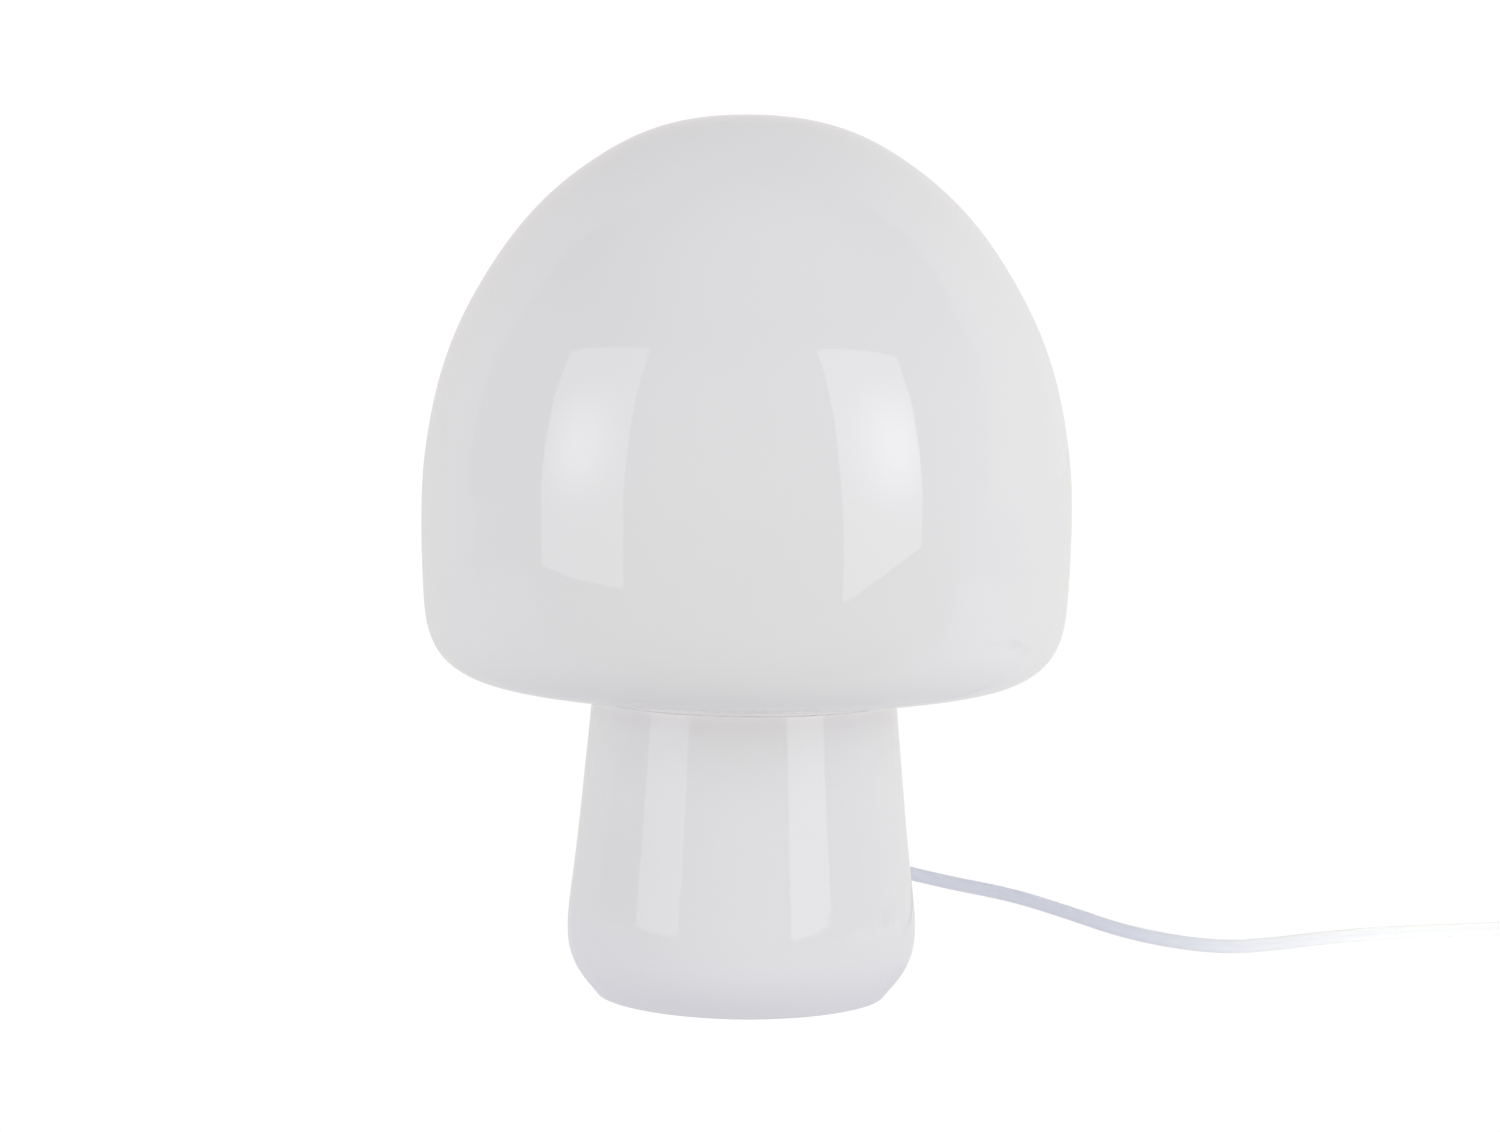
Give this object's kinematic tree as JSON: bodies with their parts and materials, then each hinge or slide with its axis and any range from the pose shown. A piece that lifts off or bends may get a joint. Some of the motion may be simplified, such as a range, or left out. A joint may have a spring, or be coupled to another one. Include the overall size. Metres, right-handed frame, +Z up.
{
  "type": "mushroom table lamp",
  "caption": "Mushroom table lamp: a domed opal glass cap lifts off a flared opal glass stem; screw-in bulb, braided lead with rocker switch and plug.",
  "frame": {"origin": "centre of the felt pad's underside, on the surface that the lamp stands on, on the lamp's axis", "axes": "+Z up along the axis of the cap and stem; the lead leaves the stem at the back, towards +Y, and runs to +X"},
  "size_m": [0.5285, 0.239, 0.2723],
  "materials": {
    "opal_glass": "white opal glass, fire-polished gloss",
    "felt": "pressed wool felt",
    "silicone": "satin white silicone",
    "white_steel": "satin white lacquer",
    "spring_steel": "bright spring steel",
    "holder_plastic": "white thermoplastic, fine texture",
    "ceramic_core": "unglazed steatite",
    "brass": "stamped brass",
    "zinc_screw": "zinc-plated steel",
    "wire_insulation": "PVC insulation",
    "solder_tip": "solder",
    "black_glass": "black vitrite",
    "nickel": "bright nickel plate",
    "bulb_plastic": "white polycarbonate",
    "board_aluminium": "white-masked aluminium board",
    "bulb_opal": "satin opal diffuser",
    "gland_nylon": "white nylon",
    "braid": "tight white textile braid",
    "tie_fabric": "white hook-and-loop tape",
    "switch_plastic": "moulded white plastic, semi-gloss",
    "rocker_plastic": "moulded white plastic, gloss",
    "plug_plastic": "moulded white thermoplastic",
    "sleeve_plastic": "dark insulating sleeve"
  },
  "bodies": {
    "lamp_base": {"stem_glass": "opal_glass", "foot_pad": "felt", "rim_gasket": "silicone", "carrier_plate": "white_steel", "retaining_springs": "spring_steel", "spring_rivets": "spring_steel", "holder_ring_upper": "holder_plastic", "holder_ring_lower": "holder_plastic", "holder_shell": "holder_plastic", "holder_cap": "holder_plastic", "cord_grip_screw": "holder_plastic", "holder_core": "ceramic_core", "holder_screw_shell": "brass", "holder_centre_contact": "brass", "holder_terminals": "brass", "terminal_screws": "zinc_screw", "holder_wires": "wire_insulation", "gland_washer_outer": "silicone", "gland_washer_inner": "silicone", "cord_gland": "gland_nylon", "gland_nut": "gland_nylon", "cord_inner": "braid", "cord_lead": "braid", "cord_rear": "braid", "cord_tail": "braid", "cord_coil": "braid", "coil_tie": "tie_fabric", "switch_base": "switch_plastic", "switch_cover": "switch_plastic", "switch_terminals": "brass", "switch_terminal_screws": "zinc_screw", "switch_screws": "zinc_screw", "switch_clamps": "holder_plastic", "plug_body": "plug_plastic", "plug_pins": "nickel", "plug_pin_sleeves": "sleeve_plastic"},
    "cap": {"cap_glass": "opal_glass"},
    "bulb_base": {"bulb_screw_cap": "nickel", "bulb_insulator": "black_glass", "bulb_contact_tip": "solder_tip"},
    "bulb_top": {"bulb_housing": "bulb_plastic", "bulb_led_board": "board_aluminium", "bulb_globe": "bulb_opal"},
    "rocker": {"switch_rocker": "rocker_plastic", "switch_plunger": "holder_plastic"},
    "blade": {"switch_blade": "brass"}
  },
  "joints": [
    {"name": "cap_lift", "type": "slide", "parent": "lamp_base", "child": "cap", "axis": [0, 0, 1], "range_m": [0, 0.12]},
    {"name": "bulb_rise", "type": "slide", "parent": "lamp_base", "child": "bulb_base", "axis": [0, 0, 1], "range_m": [0, 0.0113]},
    {"name": "bulb_turn", "type": "hinge", "parent": "bulb_base", "child": "bulb_top", "pos_m": [0, 0, 0.12], "axis": [0, 0, 1], "range_deg": [0, 1440]},
    {"name": "rocker_tilt", "type": "hinge", "parent": "lamp_base", "child": "rocker", "pos_m": [0.321, 0.126, 0.0126], "axis": [0, 1, 0], "range_deg": [0, 16]},
    {"name": "blade_tilt", "type": "hinge", "parent": "lamp_base", "child": "blade", "pos_m": [0.321, 0.126, 0.0053], "axis": [0, 1, 0], "range_deg": [-10, 0]}
  ],
  "couplings": [
    {"joint": "bulb_rise", "follows": "bulb_turn", "m_per_rad": 0.00044882},
    {"joint": "blade_tilt", "follows": "rocker_tilt", "ratio": -0.625}
  ]
}
